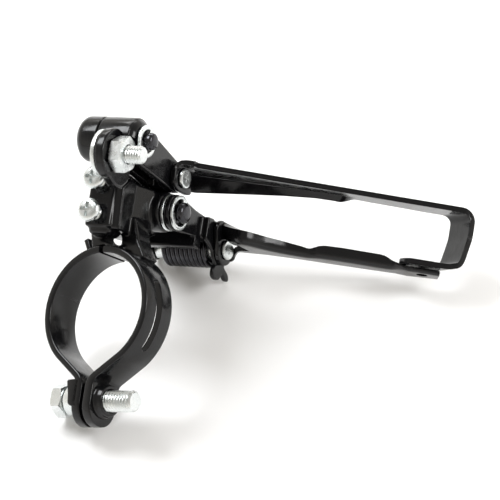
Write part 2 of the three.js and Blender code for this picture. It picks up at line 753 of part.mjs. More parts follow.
const linkage = new THREE.Group();
linkage.rotation.y = PIVOT_TILT * DEG;
linkage.add(outerLink(), cableArm(), ...anchorPieces(), innerLink(), returnSpring());
const clip1 = HUB1_END + 2 * GAP;
const clip3 = EAR_REAR[1] + GAP;
linkage.add(pin("outer_pivot_pin", PIN1_R, -5.8, 13.8, P1, clip1 - GAP));
linkage.add(pin("inner_pivot_pin", PIN3_R, -9.6, 13.8, P3, clip3 - GAP));
linkage.add(eClip("outer_pivot_clip", PIN1_R, 4.5, clip1, P1, -60));
linkage.add(eClip("inner_pivot_clip", PIN3_R, 4.8, clip3, P3, -60));
linkage.add(washer("inner_pivot_washer", 5.2, PIN3_R + GAP, HUB3_END + GAP, EAR_REAR[0] - GAP, P3, zinc));
linkage.add(rivet("cage_outer_rivet", -0.6, 11.7, P2));
linkage.add(rivet("cage_inner_rivet", -9.6, EAR4_CAGE[1] + GAP + RIVET_HEAD_T, P4));
linkage.add(limitScrew("high_limit_screw", SCREW_YS.high), limitScrew("low_limit_screw", SCREW_YS.low));
linkage.add(cageOuterPlate(), cageInnerPlate());
linkage.add(washer("spring_bushing", 3.2, PIN2_R + GAP, -6.9, EAR4_REAR[0] - GAP, P4, zinc));
seatTubeFrame.add(linkage);

// the seat tube frame is laid down on the bench, with the middle of its footprint at the origin
const up = new THREE.Vector3(...REST_UP).normalize();
const right = new THREE.Vector3(...REST_RIGHT).projectOnPlane(up).normalize();
const back = new THREE.Vector3().crossVectors(up, right);
seatTubeFrame.quaternion.setFromRotationMatrix(new THREE.Matrix4().makeBasis(right, back, up).transpose());
const derailleur = new THREE.Group();
derailleur.add(seatTubeFrame);
derailleur.updateMatrixWorld(true);
const bounds = new THREE.Box3().setFromObject(derailleur, true);
const middle = bounds.getCenter(new THREE.Vector3());
seatTubeFrame.position.set(-middle.x, -middle.y, -bounds.min.z);

export default derailleur;
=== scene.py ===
"""Front derailleur with a hinged band clamp: the visual model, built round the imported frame.

Pieces are drawn in millimetres in one of two local frames and then placed in the row frame in metres:
  SEAT  x to the rear, y outboard, z up the seat tube, origin at the centre of the clamp ring
  LINK  the same, turned about y so that x runs along the pivot pins
"""
import json
import math

import bmesh
import bpy
from mathutils import Matrix, Vector


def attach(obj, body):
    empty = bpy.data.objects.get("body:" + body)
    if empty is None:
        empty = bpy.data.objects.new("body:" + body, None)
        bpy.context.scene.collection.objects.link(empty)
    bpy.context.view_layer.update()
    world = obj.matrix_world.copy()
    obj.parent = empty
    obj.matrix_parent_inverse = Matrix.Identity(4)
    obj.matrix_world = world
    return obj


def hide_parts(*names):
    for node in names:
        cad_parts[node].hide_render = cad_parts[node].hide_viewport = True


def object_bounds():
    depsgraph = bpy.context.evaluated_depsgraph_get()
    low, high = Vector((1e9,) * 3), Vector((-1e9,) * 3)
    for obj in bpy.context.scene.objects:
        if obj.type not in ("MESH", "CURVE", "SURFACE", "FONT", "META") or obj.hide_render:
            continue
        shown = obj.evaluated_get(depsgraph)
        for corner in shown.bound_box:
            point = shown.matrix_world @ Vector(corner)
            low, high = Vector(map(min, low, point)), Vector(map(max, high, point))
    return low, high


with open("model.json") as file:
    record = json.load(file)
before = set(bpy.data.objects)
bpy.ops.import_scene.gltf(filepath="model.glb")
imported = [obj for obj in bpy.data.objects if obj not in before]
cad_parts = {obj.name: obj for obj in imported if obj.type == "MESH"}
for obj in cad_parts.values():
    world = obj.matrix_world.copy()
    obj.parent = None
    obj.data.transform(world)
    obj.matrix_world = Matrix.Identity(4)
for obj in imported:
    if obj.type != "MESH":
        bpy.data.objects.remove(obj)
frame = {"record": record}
cad_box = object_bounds()
record = frame["record"]
joints = {j["name"]: j for j in record["behaviour"]["joints"]}

# ---------- dimensions, in millimetres ----------
TUBE_R = 15.9  # seat tube radius
BAND_T = 2.0  # clamp sheet thickness
BAND_W = 11.5  # clamp width along the seat tube
LUG_T = 2.8  # thickness of each clamp lug
LUG_Y = -24.7  # the clamp bolt, from the ring's centre
LUG_END = -26.3  # centre of the rounded lug end
PARTING = 0.5  # half of the gap between the lugs
P1 = (45.8, 12.8)  # outer pivot on the body, as y and z
P3 = (31.4, -10.3)  # inner pivot on the body
P2 = (41.2, -10.7)  # outer pivot on the cage
P4 = (26.8, -33.8)  # inner pivot on the cage
ANCHOR = (40.2, 20.2)  # cable anchor
SHEET = 1.5  # cage and link sheet thickness
OUTER_Y = 44.6  # inner face of the outer plate
INNER_Y = 27.4  # inboard face of the inner plate
SCREW_X = -4.3
SCREW_YS = {"high": 35.4, "low": 26.2}
SCREW_TOP = 13.2
CAGE_ORIGIN = (11.6, -10.4)
CAGE_TILT = math.radians(33)
TAB_Y = INNER_Y + 1.1

# ---------- frames ----------
swing = joints["outer_link_swing"]
link_x = Vector(swing["axis"]).normalized()
link_z = Vector(joints["high_limit_screw_travel"]["axis"]).normalized()
link_y = link_z.cross(link_x)
origin = Vector(swing["pos_m"]) - (4 * link_x + P1[0] * link_y + P1[1] * link_z) / 1000
seat_x = -Vector(joints["clamp_bolt_travel"]["axis"]).normalized()
seat_z = -Vector(joints["clamp_band_hinge"]["axis"]).normalized()
seat_y = seat_z.cross(seat_x)


def placed(x, y, z):
    """The matrix from millimetres in a local frame to metres in the row frame."""
    m = Matrix((x, y, z)).transposed().to_4x4() @ Matrix.Diagonal((0.001, 0.001, 0.001, 1))
    m.translation = origin
    return m


LINK = placed(link_x, link_y, link_z)
SEAT = placed(seat_x, seat_y, seat_z)
SEAT_TO_LINK = LINK.inverted() @ SEAT

# ---------- mesh tools ----------


def temp(mesh):
    o = bpy.data.objects.new("temp", mesh)
    bpy.context.scene.collection.objects.link(o)
    return o


def taken(obj):
    """The object's mesh with its modifiers applied; the object goes."""
    bpy.context.view_layer.update()
    mesh = bpy.data.meshes.new_from_object(obj.evaluated_get(bpy.context.evaluated_depsgraph_get()))
    bpy.data.objects.remove(obj)
    return mesh


def weld(mesh, distance=1e-3):
    bm = bmesh.new()
    bm.from_mesh(mesh)
    bmesh.ops.remove_doubles(bm, verts=bm.verts, dist=distance)
    bmesh.ops.recalc_face_normals(bm, faces=bm.faces)
    bm.to_mesh(mesh)
    bm.free()
    return mesh


def made(verts, faces):
    mesh = bpy.data.meshes.new("made")
    mesh.from_pydata([tuple(v) for v in verts], [], faces)
    return weld(mesh)


def joined(*meshes):
    bm = bmesh.new()
    for m in meshes:
        bm.from_mesh(m)
    out = bpy.data.meshes.new("joined")
    bm.to_mesh(out)
    bm.free()
    return out


def turned_mesh(mesh, matrix):
    mesh.transform(matrix)
    return mesh


def cut(mesh, *cutters, crossing=False):
    """The mesh less the cutters; crossing is for a mesh that passes through itself."""
    for c in cutters:
        o, k = temp(mesh), temp(c)
        m = o.modifiers.new("cut", "BOOLEAN")
        m.operation = "DIFFERENCE"
        m.solver = "EXACT"
        m.use_self = crossing
        m.object = k
        mesh = taken(o)
        bpy.data.objects.remove(k)
    return mesh


def fused(voxel, smooth, *meshes):
    """One body with soft fillets where the meshes meet, as in a casting."""
    o = temp(joined(*meshes))
    m = o.modifiers.new("fuse", "REMESH")
    m.mode = "VOXEL"
    m.voxel_size = voxel
    s = o.modifiers.new("smooth", "SMOOTH")
    s.factor = 0.5
    s.iterations = smooth
    return taken(o)


def rounded(points, radius, steps=4, closed=True):
    """A polygon with its corners rounded."""
    out = []
    n = len(points)
    for i, p in enumerate(points):
        p = Vector(p)
        if not closed and i in (0, n - 1):
            out.append(tuple(p))
            continue
        u, v = Vector(points[i - 1]) - p, Vector(points[(i + 1) % n]) - p
        reach = min(radius, 0.45 * u.length, 0.45 * v.length)
        a, b = p + u.normalized() * reach, p + v.normalized() * reach
        for k in range(steps + 1):
            t = k / steps
            out.append(tuple(a * (1 - t) ** 2 + p * 2 * t * (1 - t) + b * t ** 2))
    return out


def arc(cx, cy, r, start, end, steps):
    return [
        (cx + r * math.cos(math.radians(a)), cy + r * math.sin(math.radians(a)))
        for a in (start + (end - start) * i / steps for i in range(steps + 1))
    ]


AXES = {
    "x": Matrix(((0, 0, 1, 0), (1, 0, 0, 0), (0, 1, 0, 0), (0, 0, 0, 1))),
    "y": Matrix(((1, 0, 0, 0), (0, 0, -1, 0), (0, 1, 0, 0), (0, 0, 0, 1))),
    "z": Matrix.Identity(4),
}


def slab(outline, axis, lo, hi, edge=0.25, holes=(), res=2):
    """A plate with rounded edges: an outline as (y, z), (x, z) or (x, y), from lo to hi along the axis."""
    if axis == "y":
        lo, hi = -hi, -lo
    cu = bpy.data.curves.new("slab", "CURVE")
    cu.dimensions = "2D"
    cu.fill_mode = "BOTH"
    for ring in (outline, *holes):
        spline = cu.splines.new("POLY")
        spline.points.add(len(ring) - 1)
        for p, q in zip(spline.points, ring):
            p.co = (q[0], q[1], 0, 1)
        spline.use_cyclic_u = True
    edge = min(edge, (hi - lo) / 2 - 0.01)
    cu.extrude = (hi - lo) / 2 - edge
    cu.bevel_depth = edge
    cu.bevel_resolution = res
    cu.offset = -edge
    mesh = taken(temp(cu))
    mesh.transform(AXES[axis] @ Matrix.Translation((0, 0, (lo + hi) / 2)))
    return weld(mesh, 2e-3)


def lathe(profile, axis, at=(0, 0), segments=64, tube=False):
    """A turned solid from (place along the axis, radius) pairs; a tube's profile is a closed loop."""
    verts, faces, rings = [], [], []
    for t, r in profile:
        if r < 1e-6:
            rings.append([len(verts)])
            verts.append(Vector((0, 0, t)))
            continue
        rings.append(list(range(len(verts), len(verts) + segments)))
        for i in range(segments):
            a = 2 * math.pi * i / segments
            verts.append(Vector((r * math.cos(a), r * math.sin(a), t)))
    pairs = list(zip(rings, rings[1:])) + ([(rings[-1], rings[0])] if tube else [])
    for a, b in pairs:
        for i in range(segments):
            j = (i + 1) % segments
            quad = [a[i % len(a)], a[j % len(a)], b[j % len(b)], b[i % len(b)]]
            faces.append(list(dict.fromkeys(quad)))
    mesh = made(verts, [f for f in faces if len(f) > 2])
    shift = {"x": (0, *at), "y": (at[0], 0, at[1]), "z": (*at, 0)}[axis]
    if axis == "y":
        mesh.transform(Matrix(((1, 0, 0, 0), (0, 0, 1, 0), (0, -1, 0, 0), (0, 0, 0, 1))))
    else:
        mesh.transform(AXES[axis])
    mesh.transform(Matrix.Translation(shift))
    return mesh


def solid_rod(r, lo, hi, axis, at, edge=0.25, segments=64):
    profile = [(lo, 0), *rounded([(lo, 0.01), (lo, r), (hi, r), (hi, 0.01)], edge, 3, closed=False), (hi, 0)]
    return lathe(profile, axis, at, segments)


def tube_rod(r, bore, lo, hi, axis, at, edge=0.2, segments=64):
    return lathe(rounded([(lo, bore), (lo, r), (hi, r), (hi, bore)], edge, 3), axis, at, segments, tube=True)


def threaded(r, pitch, depth, lo, hi, axis, at, chamfer=0.6, segments=48):
    """A rod with a helical ridge, chamfered at its high end."""
    steps = int((hi - lo) / pitch * 9)
    verts, faces = [], []
    for k in range(steps + 1):
        t = lo + (hi - lo) * k / steps
        for i in range(segments):
            a = 2 * math.pi * i / segments
            phase = (t / pitch - i / segments) % 1
            groove = max(0.0, 1 - abs(phase - 0.5) / 0.42)
            radius = min(r - depth * groove, r - chamfer + (hi - t))
            verts.append(Vector((radius * math.cos(a), radius * math.sin(a), t)))
    for k in range(steps):
        for i in range(segments):
            j = (i + 1) % segments
            faces.append([k * segments + i, k * segments + j, (k + 1) * segments + j, (k + 1) * segments + i])
    faces.append(list(range(segments))[::-1])
    faces.append([steps * segments + i for i in range(segments)])
    mesh = made(verts, faces)
    shift = {"x": (0, *at), "z": (*at, 0)}[axis]
    mesh.transform(AXES[axis])
    mesh.transform(Matrix.Translation(shift))
    return mesh


def tube_along(path, r, sides=12):
    """A round wire along a path of points, with rounded ends."""
    path = [Vector(p) for p in path]
    verts, faces = [], []
    normal = None
    rings = []
    for i, p in enumerate(path):
        d = (path[min(i + 1, len(path) - 1)] - path[max(i - 1, 0)]).normalized()
        if normal is None:
            normal = d.orthogonal().normalized()
        normal = (normal - d * normal.dot(d)).normalized()
        side = d.cross(normal)
        end = i in (0, len(path) - 1)
        radius = r * (0.8 if end else 1)
        rings.append(range(len(verts), len(verts) + sides))
        for k in range(sides):
            a = 2 * math.pi * k / sides
            verts.append(p + (normal * math.cos(a) + side * math.sin(a)) * radius)
    for a, b in zip(rings, rings[1:]):
        for k in range(sides):
            j = (k + 1) % sides
            faces.append([a[k], a[j], b[j], b[k]])
    faces.append(list(rings[0])[::-1])
    faces.append(list(rings[-1]))
    return made(verts, faces)


def spread(points, count):
    """Points of a smooth curve through the given points (Catmull-Rom), evenly spaced in parameter."""
    pts = [Vector(p) for p in points]
    out = []
    for k in range(count):
        t = k / (count - 1) * (len(pts) - 1)
        i = min(int(t), len(pts) - 2)
        f = t - i
        a, b, c, d = pts[max(i - 1, 0)], pts[i], pts[i + 1], pts[min(i + 2, len(pts) - 1)]
        out.append(
            0.5 * ((2 * b) + (c - a) * f + (2 * a - 5 * b + 4 * c - d) * f ** 2
                   + (3 * b - a - 3 * c + d) * f ** 3)
        )
    return out


def even(points, step):
    """The polyline's points resampled at an even step."""
    pts = [Vector(p) for p in points]
    lengths = [0]
    for a, b in zip(pts, pts[1:]):
        lengths.append(lengths[-1] + (b - a).length)
    count = max(2, round(lengths[-1] / step))
    out, i = [], 0
    for k in range(count + 1):
        goal = lengths[-1] * k / count
        while i < len(pts) - 2 and lengths[i + 1] < goal:
            i += 1
        f = (goal - lengths[i]) / max(lengths[i + 1] - lengths[i], 1e-9)
        out.append(pts[i].lerp(pts[i + 1], min(f, 1)))
    return out


def ribbon(stations, corner=0.45, arc_steps=3):
    """A strip with rounded edges.

    Each station is (centre, normal, width direction, half thickness, half width).
    """
    verts, faces, rings = [], [], []
    for centre, normal, width, half_t, half_w in stations:
        r = min(corner, half_t * 0.9, half_w * 0.9)
        ring = []
        for sw, sn, start in ((1, 1, 0), (-1, 1, 90), (-1, -1, 180), (1, -1, 270)):
            for k in range(arc_steps + 1):
                a = math.radians(start + 90 * k / arc_steps)
                w = sw * (half_w - r) + r * math.cos(a)
                n = sn * (half_t - r) + r * math.sin(a)
                ring.append(centre + width * w + normal * n)
        rings.append(range(len(verts), len(verts) + len(ring)))
        verts += ring
    for a, b in zip(rings, rings[1:]):
        for k in range(len(a)):
            j = (k + 1) % len(a)
            faces.append([a[k], a[j], b[j], b[k]])
    faces.append(list(rings[0])[::-1])
    faces.append(list(rings[-1]))
    return made(verts, faces)


def flat_ribbon(path, half_t, half_w, corner=0.45):
    """A ribbon whose centre line lies in the x, y plane and whose width lies along z."""
    out = []
    z = Vector((0, 0, 1))
    for i, p in enumerate(path):
        d = (path[min(i + 1, len(path) - 1)] - path[max(i - 1, 0)]).normalized()
        t = half_t(i / (len(path) - 1)) if callable(half_t) else half_t
        w = half_w(p) if callable(half_w) else half_w
        out.append((p, z.cross(d), z, t, w))
    return ribbon(out, corner)


def sheet(grid, thickness=SHEET, edge=0.4, even_walls=True):
    """A bent sheet from rows of points on its middle surface, with rounded rims."""
    rows, cols = len(grid), len(grid[0])
    verts = [v for row in grid for v in row]
    faces = [
        [i * cols + j, i * cols + j + 1, (i + 1) * cols + j + 1, (i + 1) * cols + j]
        for i in range(rows - 1)
        for j in range(cols - 1)
    ]
    mesh = bpy.data.meshes.new("sheet")
    mesh.from_pydata([tuple(v) for v in verts], [], faces)
    o = temp(mesh)
    m = o.modifiers.new("solid", "SOLIDIFY")
    m.thickness = thickness
    m.offset = 0
    m.use_even_offset = even_walls
    b = o.modifiers.new("bevel", "BEVEL")
    b.width = edge
    b.segments = 3
    b.limit_method = "ANGLE"
    b.angle_limit = math.radians(55)
    return weld(taken(o), 1e-4)


def smoothstep(x):
    x = min(max(x, 0), 1)
    return x * x * (3 - 2 * x)


def along(points, s):
    """A value at s on a line of (s, value) points."""
    for (a, va), (b, vb) in zip(points, points[1:]):
        if s <= b:
            return va + (vb - va) * max(0, (s - a)) / (b - a)
    return points[-1][1]


def soft(points, s, blur=1.3):
    """The same, with the corners of the line eased."""
    return (along(points, s - blur) + 2 * along(points, s) + along(points, s + blur)) / 4


def hexagon(across, cy, cz):
    """A hexagon of the given width across flats."""
    r = across / math.sqrt(3)
    return [
        (cy + r * math.cos(math.radians(60 * i)), cz + r * math.sin(math.radians(60 * i)))
        for i in range(6)
    ]


def hex_body(across, lo, hi, axis, at, chamfer_lo=True, chamfer_hi=True):
    """A hexagon with its corners turned off to a cone at either end."""
    r = across / math.sqrt(3)
    mesh = slab(hexagon(across, *at), axis, lo, hi, 0.08)
    flat = across / 2 * 0.97
    rise = (r - flat) * 0.5
    loop = [(lo - 0.01, 0), (lo - 0.01, flat if chamfer_lo else r * 1.01)]
    loop += [(lo + rise, r + 0.02)] if chamfer_lo else []
    loop += [(hi - rise, r + 0.02)] if chamfer_hi else []
    loop += [(hi + 0.01, flat if chamfer_hi else r * 1.01), (hi + 0.01, 0)]
    keep = lathe(loop, axis, at, 72)
    o, k = temp(mesh), temp(keep)
    m = o.modifiers.new("keep", "BOOLEAN")
    m.operation = "INTERSECT"
    m.solver = "EXACT"
    m.object = k
    mesh = taken(o)
    bpy.data.objects.remove(k)
    return mesh


# ---------- materials ----------


def material(name, base, metallic, roughness, **extra):
    mat = bpy.data.materials.new(name)
    mat.use_nodes = True
    tree = mat.node_tree
    shader = tree.nodes["Principled BSDF"]
    shader.inputs["Metallic"].default_value = metallic
    for socket, value in extra.items():
        shader.inputs[socket.replace("_", " ")].default_value = value

    def node(kind, **props):
        n = tree.nodes.new(kind)
        for k, v in props.items():
            setattr(n, k, v)
        return n

    where = node("ShaderNodeTexCoord")

    def noise(scale, detail=4, rough=0.55):
        n = node("ShaderNodeTexNoise")
        n.inputs["Scale"].default_value = scale
        n.inputs["Detail"].default_value = detail
        n.inputs["Roughness"].default_value = rough
        tree.links.new(where.outputs["Object"], n.inputs["Vector"])
        return n.outputs["Fac"]

    def ramp(fac, *stops):
        n = node("ShaderNodeValToRGB")
        for i, (place, colour) in enumerate(stops):
            e = n.color_ramp.elements[i] if i < 2 else n.color_ramp.elements.new(place)
            e.position = place
            e.color = (*colour, 1) if len(colour) == 3 else colour
        tree.links.new(fac, n.inputs["Fac"])
        return n.outputs["Color"]

    def mapped(fac, lo, hi, out_lo, out_hi):
        n = node("ShaderNodeMapRange")
        for socket, value in zip(("From Min", "From Max", "To Min", "To Max"), (lo, hi, out_lo, out_hi)):
            n.inputs[socket].default_value = value
        tree.links.new(fac, n.inputs["Value"])
        return n.outputs["Result"]

    def math_node(op, a, b):
        n = node("ShaderNodeMath", operation=op)
        for i, v in enumerate((a, b)):
            if isinstance(v, (int, float)):
                n.inputs[i].default_value = v
            else:
                tree.links.new(v, n.inputs[i])
        return n.outputs[0]

    def mix(fac, a, b):
        n = node("ShaderNodeMix", data_type="RGBA")
        tree.links.new(fac, n.inputs["Factor"])
        for socket, v in ((n.inputs[6], a), (n.inputs[7], b)):
            if isinstance(v, tuple):
                socket.default_value = (*v, 1)
            else:
                tree.links.new(v, socket)
        return n.outputs[2]

    def bump(height, strength, distance, under=None):
        n = node("ShaderNodeBump")
        n.inputs["Strength"].default_value = strength
        n.inputs["Distance"].default_value = distance
        tree.links.new(height, n.inputs["Height"])
        if under:
            tree.links.new(under, n.inputs["Normal"])
        return n.outputs["Normal"]

    kit = dict(tree=tree, shader=shader, noise=noise, ramp=ramp, mapped=mapped, math=math_node, mix=mix,
        bump=bump, node=node)
    kit["link"] = lambda out, socket: tree.links.new(out, shader.inputs[socket])
    kit["base"] = base
    kit["rough"] = roughness
    return mat, kit


def edge_mask(k, lo, hi):
    """White on convex edges, broken up by noise, for wear."""
    geometry = k["node"]("ShaderNodeNewGeometry")
    point = k["mapped"](geometry.outputs["Pointiness"], lo, hi, 0, 1)
    return k["math"]("MULTIPLY", point, k["mapped"](k["noise"](900), 0.42, 0.62, 0, 1))


def black_paint():
    mat, k = material("black_paint", (0.0035, 0.0035, 0.0042), 0.0, 0.16, Specular_IOR_Level=0.34)
    dust = k["mapped"](k["noise"](240, 6), 0.5, 0.85, 0, 0.35)
    colour = k["mix"](dust, k["base"], (0.009, 0.009, 0.010))
    worn = edge_mask(k, 0.57, 0.68)
    colour = k["mix"](worn, colour, (0.03, 0.03, 0.033))
    k["link"](colour, "Base Color")
    k["link"](k["mapped"](k["noise"](420, 5), 0.3, 0.75, 0.1, 0.24), "Roughness")
    peel = k["bump"](k["noise"](1100, 2), 0.16, 0.00006)
    k["link"](k["bump"](k["noise"](220, 2), 0.14, 0.0002, peel), "Normal")
    return mat


def zinc():
    mat, k = material("zinc_plate", (0.76, 0.785, 0.78), 1.0, 0.25)
    tinge = k["mapped"](k["noise"](200, 2), 0.35, 0.7, 0, 1)
    colour = k["mix"](tinge, k["base"], (0.68, 0.715, 0.715))
    colour = k["mix"](edge_mask(k, 0.58, 0.68), colour, (0.84, 0.86, 0.87))
    k["link"](colour, "Base Color")
    k["link"](k["mapped"](k["noise"](500, 2), 0.3, 0.7, 0.24, 0.32), "Roughness")
    k["link"](k["bump"](k["noise"](700, 2), 0.04, 0.00004), "Normal")
    return mat


def black_steel():
    mat, k = material("black_steel", (0.055, 0.055, 0.06), 1.0, 0.22)
    tinge = k["mapped"](k["noise"](500, 5), 0.4, 0.7, 0, 0.7)
    k["link"](k["mix"](tinge, k["base"], (0.03, 0.03, 0.034)), "Base Color")
    k["link"](k["mapped"](k["noise"](800, 4), 0.3, 0.7, 0.14, 0.28), "Roughness")
    k["link"](k["bump"](k["noise"](1800, 2), 0.1, 0.00005), "Normal")
    return mat


def floor_paper():
    mat, k = material("floor_paper", (0.92, 0.92, 0.92), 0.0, 0.75)
    tinge = k["mapped"](k["noise"](3, 3), 0.3, 0.7, 0, 1)
    k["link"](k["mix"](tinge, k["base"], (0.94, 0.94, 0.945)), "Base Color")
    k["link"](k["bump"](k["noise"](400, 3), 0.03, 0.0002), "Normal")
    return mat


PAINT, ZINC, STEEL = black_paint(), zinc(), black_steel()


def add(name, mesh, frame_matrix, body, mat, nodes=(), sharp=32):
    """Places a finished mesh as a piece of the object."""
    mesh.transform(frame_matrix)
    mesh.name = name
    mesh.materials.clear()
    mesh.materials.append(mat)
    for p in mesh.polygons:
        p.material_index = 0
        p.use_smooth = True
    mesh.set_sharp_from_angle(angle=math.radians(sharp))
    o = bpy.data.objects.new(name, mesh)
    bpy.context.scene.collection.objects.link(o)
    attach(o, body)
    if nodes:
        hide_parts(*nodes)
    return o


# ---------- clamp ----------
RING_R = TUBE_R + BAND_T / 2


def lug_half_width(p):
    reach = LUG_END - p.y
    full = BAND_W / 2
    return full if reach <= 0 else max(0.75, math.sqrt(max(0, full ** 2 - reach ** 2)))


def clamp_half(side, top, leave):
    """The ring half as a bent strip, from its end at the linkage to the round end of its lug."""
    lug_x = PARTING + LUG_T / 2
    ring = [(side * x, y, 0) for x, y in arc(0, 0, RING_R, top, leave, 60)]
    foot = [(side * lug_x, -20.6, 0), (side * lug_x, LUG_END - BAND_W / 2 + 0.05, 0)]
    path = even(rounded([*ring[:-6], (side * (lug_x + 0.9), -18.9, 0), *foot], 3.0, 6, closed=False), 0.55)
    # the lug is thicker than the band
    thick = lambda t: BAND_T / 2 + (LUG_T - BAND_T) / 2 * smoothstep((t - 0.78) / 0.06)
    return flat_ribbon(path, thick, lug_half_width)


def curl(side_z):
    """A stiffening edge turned forward along the side of the band's lug."""
    z = side_z * (BAND_W / 2 - 0.5)
    face = -PARTING - LUG_T
    outline = rounded(
        [(face - 2.9, -20.0), (face - 1.8, -24), (face - 1.4, -27.0), (face + 0.6, -27.6),
            (face + 1.6, -27.6),
         (face + 1.6, -19.7)],
        0.9,
    )
    return slab(outline, "z", z - 0.5, z + 0.5, 0.35)


def bolt_hole(extra=0.3):
    return solid_rod(3.0 + extra, -12, 12, "x", (LUG_Y, 0), 0.01)


band = clamp_half(-1, 83, -68)
hook_path = even(spread([(-7.9, 14.6, 0), (-7.6, 16.6, 0), (-8.3, 18.3, 0), (-9.3, 20.0, 0)], 20), 0.4)
band = joined(
    cut(band, bolt_hole(0.9)),
    flat_ribbon(hook_path, 0.75, BAND_W / 2 - 2.4, 0.35),
    curl(1),
    curl(-1),
)
add("band", band, SEAT, "clamp_band", PAINT, ["clamp_band"])

ring = clamp_half(1, 92, -65)
slot = [*arc(8.6, 0, 1.25, 90, -90, 10), *arc(-9.4, 0, 1.25, -90, -270, 10)]
ring = cut(ring, slab(slot, "x", 9, 22, 0.01), bolt_hole())
weld_nut = lathe(
    rounded([(PARTING + 1, 3.2), (PARTING + 1, 5.0), (PARTING + LUG_T + 0.6, 5.0),
        (PARTING + LUG_T + 1.2, 4.5),
             (PARTING + LUG_T + 2.6, 4.3), (PARTING + LUG_T + 2.6, 3.2)], 0.4, 3),
    "x", (LUG_Y, 0), 64, tube=True,
)
add("clamp_ring", joined(ring, weld_nut), SEAT, "fixed_body", PAINT, ["fixed_body"])

head_x = -PARTING - LUG_T - 0.3
collar = lathe(
    rounded([(head_x - 4.6, 3.25), (head_x - 4.6, 3.9), (head_x - 4.0, 4.35), (head_x - 0.8, 4.4),
             (head_x, 4.4), (head_x, 3.25)], 0.3, 3),
    "x", (LUG_Y, 0), 64, tube=True,
)
add("clamp_collar_piece", collar, SEAT, "clamp_bolt", ZINC, ["clamp_collar"])
bolt_x = head_x - 4.9
bolt = joined(
    hex_body(8.6, bolt_x - 3.6, bolt_x, "x", (LUG_Y, 0)),
    solid_rod(3.0, bolt_x - 0.5, 2.0, "x", (LUG_Y, 0), 0.1),
    threaded(3.0, 1.0, 0.62, 1.5, 14.7, "x", (LUG_Y, 0)),
)
add("clamp_bolt_piece", bolt, SEAT, "clamp_bolt", ZINC, ["clamp_bolt"])

# ---------- the cast body, in the linkage frame ----------


def seat_slab(outline, lo, hi):
    return turned_mesh(slab(outline, "z", lo, hi, 0.3), SEAT_TO_LINK)


arm = [*arc(0, 0, TUBE_R + 0.5, 84, 92, 2), *arc(0, 0, TUBE_R + BAND_T + 0.4, 93.5, 109, 6),
    (-7.5, 22.9), (-5.8, 23.3),
       (-4.5, 20.9), (-2.6, 19.7), (0.6, 19.0), (2.6, 18.4)]
strut = [(1.4, 16.8), (4.2, 16.4), (8.4, 14.5), (10.0, 16.0), (6.7, 20.8), (4.3, 27.0), (-0.4, 27.0)]
column = [(-7.1, -4), (-5.8, -9), (1.6, -13.5), (5.5, -6), (0.6, 8.6), (-7.1, 8.6)]
column_foot = [(-6.5, 0.5), (1.0, 0.5), (0.4, 8.0), (-6.5, 8.0)]
web = [(22.2, 7.0), (22.2, -6.0), (25.7, -14.3), (33.0, -15.5), (36.0, -9.5), (36.4, -3.0), (37.4, 4.0),
    (34, 7.8)]
shoulder = [(34, 8.6), (34, -12.9), (37.9, -12.3), (40.3, -4), (P1[0] + 6.2, P1[1]), (P1[0], P1[1] + 3)]
shelf = [(34, 5.6), (34, -13.1), (37.9, -12.3), (38.9, -6), (39.3, 2), (37.6, 4.6)]
casting = fused(
    0.34, 6,
    seat_slab(arm, -3.4, 4.4),
    seat_slab(strut, -BAND_W / 2 + 0.1, 0.4),
    slab(rounded(column, 0.8), "y", 22.5, 36.5, 0.4),
    slab(rounded(column_foot, 2.2), "y", 20.6, 24.0, 1.2),
    *[solid_rod(3.4, -4, 8.6, "z", (SCREW_X, y), 0.5) for y in SCREW_YS.values()],
    slab(rounded(web, 0.8), "x", -5.6, 3.1, 0.3),
    slab(rounded(shoulder, 0.8), "x", -5.6, -1.8, 0.3),
    slab(rounded(shelf, 0.8), "x", -5.6, 0.3, 0.3),
    solid_rod(5.6, -6.8, 7.7, "x", P3, 0.4),
    solid_rod(6.4, -7.4, -1.7, "x", P1, 1.6),
)
screw_bores = [solid_rod(2.3, -3.6, 30, "z", (SCREW_X, y), 0.01, 40) for y in SCREW_YS.values()]
seats = [solid_rod(3.55, 8.6, 30, "z", (SCREW_X, SCREW_YS["high"]), 0.01, 40)]
pivot_bores = [solid_rod(2.7, -6.4, 20, "x", P1, 0.01), solid_rod(3.2, -8, 20, "x", P3, 0.01)]
tube = turned_mesh(solid_rod(TUBE_R, -30, 30, "z", (0, 0), 0.01, 120), SEAT_TO_LINK)
casting = cut(casting, tube, *screw_bores, *seats, *pivot_bores)
add("body_casting", casting, LINK, "fixed_body", PAINT, ["fixed_body"], sharp=40)

boss = lathe(
    [(-9.4, 0), (-9.35, 1.8), (-9.0, 3.4), (-8.4, 4.7), (-7.6, 5.7), (-6.7, 6.25), (-5.8, 6.4), (-1.9, 6.4),
     (-1.6, 6.15), (-1.6, 0)],
    "x", P1, 72,
)
add("outer_pivot_boss", boss, LINK, "fixed_body", PAINT)

# ---------- pins and clips ----------


def clip_outline(pin_r, outer_r, cy, cz, opening):
    """A ring open on one side, with three teeth inside."""
    pts = [(outer_r, a) for a in range(24, 337, 6)]
    teeth = (28, 180, 332)
    inner = []
    for a in range(336, 23, -4):
        near = min(abs(a - t) for t in teeth)
        lift = smoothstep((near - 14) / 12)
        inner.append((pin_r - 0.35 + 1.25 * lift, a))
    return [
        (cy + r * math.cos(math.radians(a + opening)), cz + r * math.sin(math.radians(a + opening)))
        for r, a in [*pts, *inner]
    ]


def grooved_pin(r, lo, groove, hi):
    return [(lo, 0), (lo, r - 0.3), (lo + 0.3, r), (groove, r), (groove, r - 0.7),
        (groove + 1.4, r - 0.7), (groove + 1.4, r),
            (hi - 0.9, r), (hi - 0.5, r - 0.12), (hi - 0.15, r - 0.5), (hi, r - 1.1), (hi, 0)]


